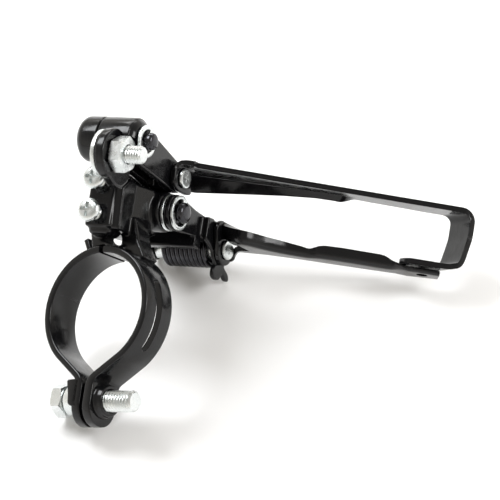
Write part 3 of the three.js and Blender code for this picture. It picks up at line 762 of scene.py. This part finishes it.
add("outer_pivot_pin_piece", lathe(grooved_pin(2.4, -5.8, 10.4, 13.8), "x", P1), LINK, "fixed_body",
    STEEL, ["outer_pivot_pin"])
add("inner_pivot_pin_piece", lathe(grooved_pin(2.9, -9.6, 10.7, 13.8), "x", P3), LINK, "fixed_body",
    STEEL, ["inner_pivot_pin"])
for name, pin_r, outer_r, x, at in (("outer", 2.4, 4.5, 10.7, P1), ("inner", 2.9, 4.8, 11.0, P3)):
    clip = slab(clip_outline(pin_r, outer_r, *at, -60), "x", x, x + 0.8, 0.16)
    add(f"{name}_clip", clip, LINK, "fixed_body", ZINC, [f"{name}_pivot_clip"])


add("inner_washer", tube_rod(5.15, 3.2, 8.0, 8.9, "x", P3, 0.2), LINK, "fixed_body", ZINC,
    ["inner_pivot_washer"])


def rivet(name, lo, hi, at, node):
    """A rivet with a flat head, marked by a shallow cross."""
    r, head = 2.2, 2.72
    profile = [(lo, 0), (lo, r - 0.3), (lo + 0.3, r), (hi - 0.8, r), (hi - 0.8, head - 0.1), (hi - 0.7, head),
               (hi - 0.3, head), (hi - 0.1, head - 0.12), (hi, head - 0.4), (hi - 0.02, head - 0.8),
               (hi - 0.02, 0)]
    cross = [
        slab([(at[0] - a, at[1] - b), (at[0] + a, at[1] - b), (at[0] + a, at[1] + b),
            (at[0] - a, at[1] + b)], "x",
             hi - 0.16, hi + 1, 0.01)
        for a, b in ((1.3, 0.2), (0.2, 1.3))
    ]
    add(name, cut(lathe(profile, "x", at), *cross), LINK, "cage", ZINC, [node])


rivet("outer_rivet", -0.6, 11.7, P2, "cage_outer_rivet")
rivet("inner_rivet", -9.6, 15.3, P4, "cage_inner_rivet")
add("bushing", tube_rod(3.2, 2.5, -6.9, 11.2, "x", P4, 0.25), LINK, "cage", ZINC, ["spring_bushing"])

# ---------- outer link ----------


def link_outline(a, ra, b, rb):
    way = math.degrees(math.atan2(b[1] - a[1], b[0] - a[0]))
    lean = math.degrees(math.acos((ra - rb) / math.hypot(b[0] - a[0], b[1] - a[1])))
    return [*arc(*a, ra, way + lean, way + 360 - lean, 40), *arc(*b, rb, way - lean, way + lean, 24)]


spine = [(P1[0] + 2.2, P1[1]), (P2[0] + 2.6, P2[1]), (P2[0] + 0.2, P2[1]), (P1[0] - 0.2, P1[1])]
outer_web = link_outline(P1, 5.6, P2, 4.15)
outer_link = fused(
    0.3, 4,
    slab(outer_web, "x", 6.3, 8.75, 0.3),
    slab(outer_web, "x", 0.85, 3.3, 0.3),
    slab(spine, "x", 0.9, 8.7, 0.3),
    solid_rod(6.35, -1.25, 8.8, "x", P1, 0.4),
    solid_rod(4.15, 0.85, 8.75, "x", P2, 0.3),
)
outer_link = cut(
    outer_link,
    solid_rod(2.7, -5, 20, "x", P1, 0.01),
    solid_rod(2.5, -5, 20, "x", P2, 0.01),
    solid_rod(5.9, 0.1, 20, "x", ANCHOR, 0.01),
)
hub = lathe(
    rounded([(-1.3, 2.7), (-1.3, 6.4), (7.6, 6.4), (8.6, 6.15), (9.6, 5.2), (10.1, 4.5), (10.1, 2.7)],
        0.5, 3),
    "x", P1, 72, tube=True,
)
hub = cut(hub, solid_rod(5.9, 0.1, 20, "x", ANCHOR, 0.01))
add("outer_link_piece", joined(outer_link, hub), LINK, "outer_link", PAINT, ["outer_link"], sharp=40)

beside_hub = [solid_rod(6.7, -5, 20, "x", P1, 0.01), solid_rod(2.8, -5, 20, "x", ANCHOR, 0.01)]
arm_lo, arm_hi = 3.5, 6.3
tail = [(36.2, 26.0), (33.4, 21.6), (31.6, 17.2), (31.8, 14.0), (34.6, 10.8), (37.6, 10.4),
    (41.5, 14.5), (41.5, 20)]
arm_piece = fused(
    0.2, 2,
    solid_rod(7.1, arm_lo, arm_hi, "x", ANCHOR, 0.6),
    slab(rounded(tail, 1.6), "x", arm_lo, arm_hi, 0.6),
)
add("cable_arm_piece", cut(arm_piece, *beside_hub), LINK, "outer_link", PAINT, ["cable_arm"])

plate_lo, plate_hi = 1.9, 3.2
clamp_plate = cut(solid_rod(6.7, plate_lo, plate_hi, "x", ANCHOR, 0.35), *beside_hub)
add("anchor_washer", clamp_plate, LINK, "outer_link", ZINC, ["cable_anchor_washer"])
nut_x = arm_hi + 0.3
nut = cut(hex_body(9, nut_x, nut_x + 3.8, "x", ANCHOR), solid_rod(2.8, 0, 20, "x", ANCHOR, 0.01))
add("anchor_nut", nut, LINK, "outer_link", ZINC, ["cable_anchor_nut"])
head = plate_lo - 0.3
anchor_bolt = joined(
    lathe([(head - 1.2, 0), (head - 1.2, 2.9), (head - 1.05, 3.3), (head - 0.8, 3.55), (head - 0.1, 3.6),
           (head, 3.5), (head, 0)], "x", ANCHOR),
    threaded(2.5, 0.8, 0.42, head - 0.5, 15.2, "x", ANCHOR, 0.5),
)
add("anchor_bolt", anchor_bolt, LINK, "outer_link", ZINC, ["cable_anchor_bolt"])

# ---------- inner link ----------
rear_lo, rear_hi = 9.2, 10.7
end_lo, end_hi = 11.5, 12.7
front_lo, front_hi = -8.8, -7.2
rear_side = [(35.0, -13.4), (34.0, -27.8), (28.6, -27.8), (28.2, -24.6), (27.4, -17.0), (29.0, -13.4)]
joggle_wall = [(34.0, -24.6), (34.1, -28.2), (27.6, -28.0), (28.2, -24.6)]
rear_end = [(33.2, -24.6), (34.2, -32.8), (32.0, -36.4), (23.4, -37.6), (22.0, -36.6), (21.2, -33.4),
    (23.4, -30.8),
            (25.6, -29.4), (27.6, -24.6)]
hook_plate = [(24.4, -33.4), (20.6, -31.0), (18.6, -31.4), (18.0, -33.4), (18.6, -35.6), (20.4, -36.4),
    (18.9, -38.6),
              (19.2, -40.7), (20.9, -40.2), (22.4, -37.4)]
front_side = [(35.0, -13.4), (34.2, -26.2), (28.4, -33.0), (24.6, -25.6), (30.0, -14.0)]
link_web = [(24.6, -25.6), (34.2, -26.2), (34.9, -18.2), (33.5, -18.0), (33.0, -22.4), (24.6, -21.9)]
inner_link = fused(
    0.24, 2,
    slab(link_outline(P3, 5.0, (31.0, -20.5), 3.6), "x", rear_lo, rear_hi, 0.3),
    slab(rounded(rear_side, 0.8), "x", rear_lo + 0.01, rear_hi - 0.01, 0.3),
    slab(rounded(joggle_wall, 0.5), "x", rear_lo + 0.1, end_hi - 0.1, 0.3),
    slab(rounded(rear_end, 0.8), "x", end_lo, end_hi, 0.3),
    solid_rod(4.4, end_lo, end_hi, "x", P4, 0.3),
    slab(rounded(hook_plate, 0.8), "x", end_lo, end_hi, 0.3),
    slab(link_outline(P3, 5.0, P4, 3.6), "x", front_lo, front_hi, 0.3),
    slab(rounded(front_side, 0.8), "x", front_lo + 0.01, front_hi - 0.01, 0.3),
    slab(rounded(link_web, 0.6), "x", front_lo + 0.02, rear_hi - 0.02, 0.3),
)
inner_link = cut(inner_link, solid_rod(3.2, -20, 20, "x", P3, 0.01), solid_rod(2.5, -20, 20, "x", P4, 0.01))
add("inner_link_piece", inner_link, LINK, "inner_link", PAINT, ["inner_link"], sharp=40)

# ---------- return spring ----------
COIL_R = 4.5  # middle of the spring's wire
WIRE_R = 0.7
spring_lo, spring_hi = -4.6, 11.1
turns = 10.25
coil_lo, coil_hi = spring_lo + WIRE_R, spring_hi - WIRE_R
coil_path = []
for i in range(int(turns * 40) + 1):
    a = -1.9 + 2 * math.pi * i / 40
    x = coil_lo + (coil_hi - coil_lo) * i / (turns * 40)
    coil_path.append((x, P4[0] + COIL_R * math.cos(a), P4[1] + COIL_R * math.sin(a)))
add("return_spring_coil", tube_along(coil_path, WIRE_R, 14), LINK, "inner_link", STEEL, ["return_spring"])

# ---------- limit screws ----------


def limit_screw(name, y, body, node):
    """A pan-head screw with a cross recess and a collar under its head."""
    top, r, head_r = SCREW_TOP, 2.0, 3.25
    under = top - 2.0
    profile = [(under - 0.7, 0), (under - 0.7, r + 0.3), (under - 0.5, r + 0.5), (under, r + 0.5),
        (under, head_r - 0.12),
               (under + 0.12, head_r), (top - 1.0, head_r), (top - 0.8, head_r - 0.1),
               (top - 0.5, head_r - 0.25),
               (top - 0.2, head_r - 0.65), (top - 0.05, head_r - 1.1), (top, head_r - 1.7), (top, 0)]
    screw_head = lathe(profile, "z", (SCREW_X, y), 56)
    arm_len, half = 2.1, 0.48
    cross = [
        slab(rounded([(SCREW_X - a, y - b), (SCREW_X + a, y - b), (SCREW_X + a, y + b),
            (SCREW_X - a, y + b)], 0.2), "z",
             top - 1.3, top + 1, 0.01)
        for a, b in ((arm_len, half), (half, arm_len))
    ]
    shank = threaded(r, 0.7, 0.36, -1.8, under - 0.5, "z", (SCREW_X, y), 0.01, 40)
    add(name, joined(cut(screw_head, *cross), shank), LINK, body, ZINC, [node])


for key, y in SCREW_YS.items():
    limit_screw(f"{key}_screw", y, f"{key}_limit_screw", f"{key}_limit_screw")

# ---------- cage ----------
cage_along = (math.cos(CAGE_TILT), -math.sin(CAGE_TILT))
cage_down = (-math.sin(CAGE_TILT), -math.cos(CAGE_TILT))


def cage(s, y, d):
    """A point of the cage: s along it, y outboard, d down from the outer plate's top edge."""
    return Vector((
        CAGE_ORIGIN[0] + s * cage_along[0] + d * cage_down[0],
        y,
        CAGE_ORIGIN[1] + s * cage_along[1] + d * cage_down[1],
    ))


LEAN = -0.57
mid_y = OUTER_Y + SHEET / 2
tail_path = [
    *[Vector((s, mid_y)) for s in (66, 70, 73, 76.8)],
    *[Vector(p) for p in arc(76.8, mid_y - 3.25, 3.25, 80, 0, 8)],
    Vector((80.05, 40.2)),
    Vector((80.05, 38.6)),
    *spread([(79.95, 37.4), (79.4, 34.2), (78.8, 31.2), (77.9, 29.8), (76.4, TAB_Y + SHEET / 2)], 12),
    Vector((70, TAB_Y + SHEET / 2)),
    Vector((64.9, TAB_Y + SHEET / 2)),
]
outer_path = even([Vector((0, mid_y)), *tail_path], 0.55)
bottom_line = [(0, 17.0), (4, 16.5), (17.3, 12.8), (28.4, 9.8), (36.7, 7.9), (42, 7.1), (46, 7.1),
    (52, 7.7), (60, 8.0),
               (72, 8.5), (200, 8.5)]
CREASE, RISE, FLARE = 11.5, 0.1585, 0.7
ROWS = 26
grid = []
travelled = 0
for i, p in enumerate(outer_path):
    if i:
        travelled += (p - outer_path[i - 1]).length
    s, y = p
    past_bend = y < mid_y - 0.01
    top = 0.0
    bottom = along(bottom_line, s if not past_bend else 80)
    if past_bend and y < 33:
        narrow = smoothstep((77.2 - s) / 2.0)
        top, bottom = 1.5 * narrow, 8.5 - 2.0 * narrow
    near_end = (s - 64.9) if past_bend and y < 30 else 99
    if near_end < 1.6:
        pull = 1.6 - math.sqrt(max(0, 1.6 ** 2 - (1.6 - near_end) ** 2))
        top, bottom = top + pull, bottom - pull
    lean = LEAN * (smoothstep((s - 58) / 14) if not past_bend else 1)
    row = []
    for j in range(ROWS):
        d = top + (bottom - top) * j / (ROWS - 1)
        shift = 0
        if not past_bend:
            below = max(0, d - CREASE + RISE * s)
            shift = -FLARE * below * smoothstep((47.5 - s) / 5)
        row.append(cage(s + lean * d, y + shift, d))
    grid.append(row)
outer_plate = sheet(grid)
ear = rounded([(OUTER_Y - 1.0, -15.5), (38, -16.5), (37.4, -14.6), (37.4, -8.6), (39, -6.2),
    (OUTER_Y - 1.0, -6.0)], 1.6, 6)
ear_plate = slab(ear, "x", 9.1, 10.6, 0.3)
bend_path = spread([(9.85, 42.6), (9.9, 43.6), (10.5, 44.9), (11.8, 45.35), (14.0, 45.35)], 16)
bend_stations = []
for i, p in enumerate(bend_path):
    d = (bend_path[min(i + 1, 15)] - bend_path[max(i - 1, 0)]).normalized()
    low, high = -15.5 - 0.6 * i / 15, -6.0 - 3.6 * i / 15
    bend_stations.append((Vector((p.x, p.y, (low + high) / 2)), Vector((-d.y, d.x, 0)),
        Vector((0, 0, 1)), SHEET / 2, (high - low) / 2))
outer_cage = joined(outer_plate, cut(ear_plate, solid_rod(2.5, -5, 20, "x", P2, 0.01)),
    ribbon(bend_stations, 0.3))
add("cage_outer", outer_cage, LINK, "cage", PAINT, ["cage_outer_plate"], sharp=40)

# the inner plate: a flange along the top, a face below it, and a neck twisted up to the ear
NECK_S = 19.5  # where the twisted neck becomes the plate
crease_top = [(NECK_S, 8.9), (25, 11.3), (31, 12.6), (37.5, 12.6), (38.8, 11.6), (40, 10.6), (46, 9.8),
    (60.5, 9.3), (63.5, 5.2),
              (65, 4.0), (200, 3.7)]
lower = [(NECK_S, 21.3), (26, 18.7), (34, 17.3), (47, 16.1), (62.5, 14.4), (64.4, 11.6), (73.4, 9.0),
    (200, 9.0)]
flange_width = [(NECK_S, 2.9), (30, 2.5), (36, 1.9), (38, 1.4), (38.8, 1.9), (40, 2.8), (46, 2.9),
    (58, 2.8), (62, 0.9), (64, 0.3), (200, 0.3)]
joggle = [(0, 0), (62, 0), (65, -0.7), (200, -0.7)]
FACE_ROWS = 9


def inner_section(s):
    """Points from the flange's outboard edge round its bend and down the face."""
    base = INNER_Y + SHEET / 2 + along(joggle, s)
    d0, d1, w = soft(crease_top, s), soft(lower, s), soft(flange_width, s)
    bend_r = min(1.0, w)
    pts = [(base + w - (w - bend_r) * k / 3, d0) for k in range(3)]
    for k in range(5):
        a = math.radians(90 * k / 4)
        pts.append((base + bend_r - bend_r * math.sin(a), d0 + bend_r - bend_r * math.cos(a)))
    start = d0 + bend_r
    pts += [(base, start + (d1 - start) * k / FACE_ROWS) for k in range(1, FACE_ROWS + 1)]
    return [cage(s, y, d) for y, d in pts]


count = len(inner_section(30))
ear_top, ear_low = Vector((13.6, 33.7, -30.4)), Vector((13.6, 24.8, -37.8))
ear_line = [ear_top.lerp(ear_low, k / (count - 1)) for k in range(count)]
first, second = inner_section(NECK_S), inner_section(NECK_S + 1)
grid = []
NECK_STEPS = 16  # rows of the sheet along the neck
for i in range(NECK_STEPS):
    t = i / NECK_STEPS
    row = []
    for a, b, c in zip(ear_line, first, second):
        leave = Vector((1.6, -0.8, -0.6))
        arrive = (c - b) * 9
        h = (2 * t ** 3 - 3 * t ** 2 + 1, t ** 3 - 2 * t ** 2 + t, -2 * t ** 3 + 3 * t ** 2, t ** 3 - t ** 2)
        row.append(a * h[0] + leave * h[1] * 2 + b * h[2] + arrive * h[3])
    grid.append(row)
stops = [NECK_S + 0.6 * k for k in range(int((73.4 - NECK_S) / 0.6) + 1)] + [73.4]
grid += [inner_section(s) for s in stops]
inner_plate = sheet(grid, even_walls=False)
hole = cage(68.8, 0, 6.6)
EYE_R = 1.6
RIVET_ROOM_R = 3.05  # the rivet head with its clearance
eye = solid_rod(EYE_R, 20, 40, "y", (hole.x, hole.z), 0.01, 40)
rivet_room = solid_rod(RIVET_ROOM_R, 14.21, 20, "x", P4, 0.01)
inner_plate = cut(cut(inner_plate, eye), rivet_room, crossing=True)
inner_ear = cut(
    slab(link_outline(P4, 4.4, (31.4, -30.2), 2.8), "x", 13.0, 14.2, 0.3),
    solid_rod(2.5, -20, 20, "x", P4, 0.01),
)
lug_outline = [(cage(s, 0, d).x, cage(s, 0, d).z) for s,
    d in ((69.4, 3.6), (73.3, 3.6), (73.3, 6.0), (69.4, 6.0))]
stop_lug = slab(rounded(lug_outline, 0.5), "y", INNER_Y + 0.1, TAB_Y - 0.3, 0.25)
inner_cage = joined(inner_plate, inner_ear, stop_lug)
add("cage_inner", inner_cage, LINK, "cage", PAINT, ["cage_inner_plate"], sharp=40)

# ---------- floor, light, camera ----------
paper = bpy.data.meshes.new("floor")
paper.from_pydata([(-4, -4, 0), (4, -4, 0), (4, 4, 0), (-4, 4, 0)], [], [(0, 1, 2, 3)])
paper.materials.append(floor_paper())
floor = bpy.data.objects.new("floor", paper)
bpy.context.scene.collection.objects.link(floor)

world = bpy.data.worlds.new("studio")
bpy.context.scene.world = world
world.use_nodes = True
tree = world.node_tree
background = tree.nodes["Background"]
where = tree.nodes.new("ShaderNodeTexCoord")
split = tree.nodes.new("ShaderNodeSeparateXYZ")
shade = tree.nodes.new("ShaderNodeValToRGB")
for i, (place, value) in enumerate(((0.0, 1.1), (0.25, 1.0), (0.6, 0.5), (1.0, 0.42))):
    e = shade.color_ramp.elements[i] if i < 2 else shade.color_ramp.elements.new(place)
    e.position = place
    e.color = (value, value * 0.96, value * 0.89, 1)
tree.links.new(where.outputs["Generated"], split.inputs[0])
tree.links.new(split.outputs["Z"], shade.inputs["Fac"])
tree.links.new(shade.outputs["Color"], background.inputs["Color"])
background.inputs["Strength"].default_value = 1.0


def softbox(name, place, aim, size, power, colour=(1, 1, 1)):
    light = bpy.data.lights.new(name, "AREA")
    light.shape = "RECTANGLE"
    light.size, light.size_y = size
    light.energy = power
    light.color = colour
    o = bpy.data.objects.new(name, light)
    o.location = place
    o.rotation_euler = (Vector(aim) - Vector(place)).to_track_quat("-Z", "Y").to_euler()
    bpy.context.scene.collection.objects.link(o)


centre = (cad_box[0] + cad_box[1]) / 2
softbox("key", (-0.55, 0.45, 0.85), centre, (0.5, 0.5), 9, (0.96, 0.98, 1.0))
softbox("fill", (0.75, -0.15, 0.7), centre, (0.5, 0.35), 5)
softbox("back", (0.1, 0.9, 0.45), centre, (0.9, 0.25), 4)

# the photograph's view, given in the seat tube frame
sight = (seat_x * 0.629 - seat_y * 0.188 + seat_z * 0.754).normalized()
upward = (seat_y * 0.970 + seat_z * 0.242)
sideways = (seat_x * 0.777 + seat_y * 0.152 - seat_z * 0.611).normalized()
upward = sight.cross(sideways)
VIEW_WIDTH = 0.137
AIM = origin + sideways * 0.03966 + upward * 0.01738
camera = bpy.data.cameras.new("camera")
camera.sensor_width = 36
DISTANCE = 3.0
camera.lens = 36 * DISTANCE / VIEW_WIDTH
camera.clip_end = 20
cam = bpy.data.objects.new("camera", camera)
cam.matrix_world = Matrix((sideways, upward, sight)).transposed().to_4x4()
cam.location = AIM + sight * DISTANCE
bpy.context.scene.collection.objects.link(cam)
bpy.context.scene.camera = cam
bpy.context.scene.view_settings.view_transform = "Standard"
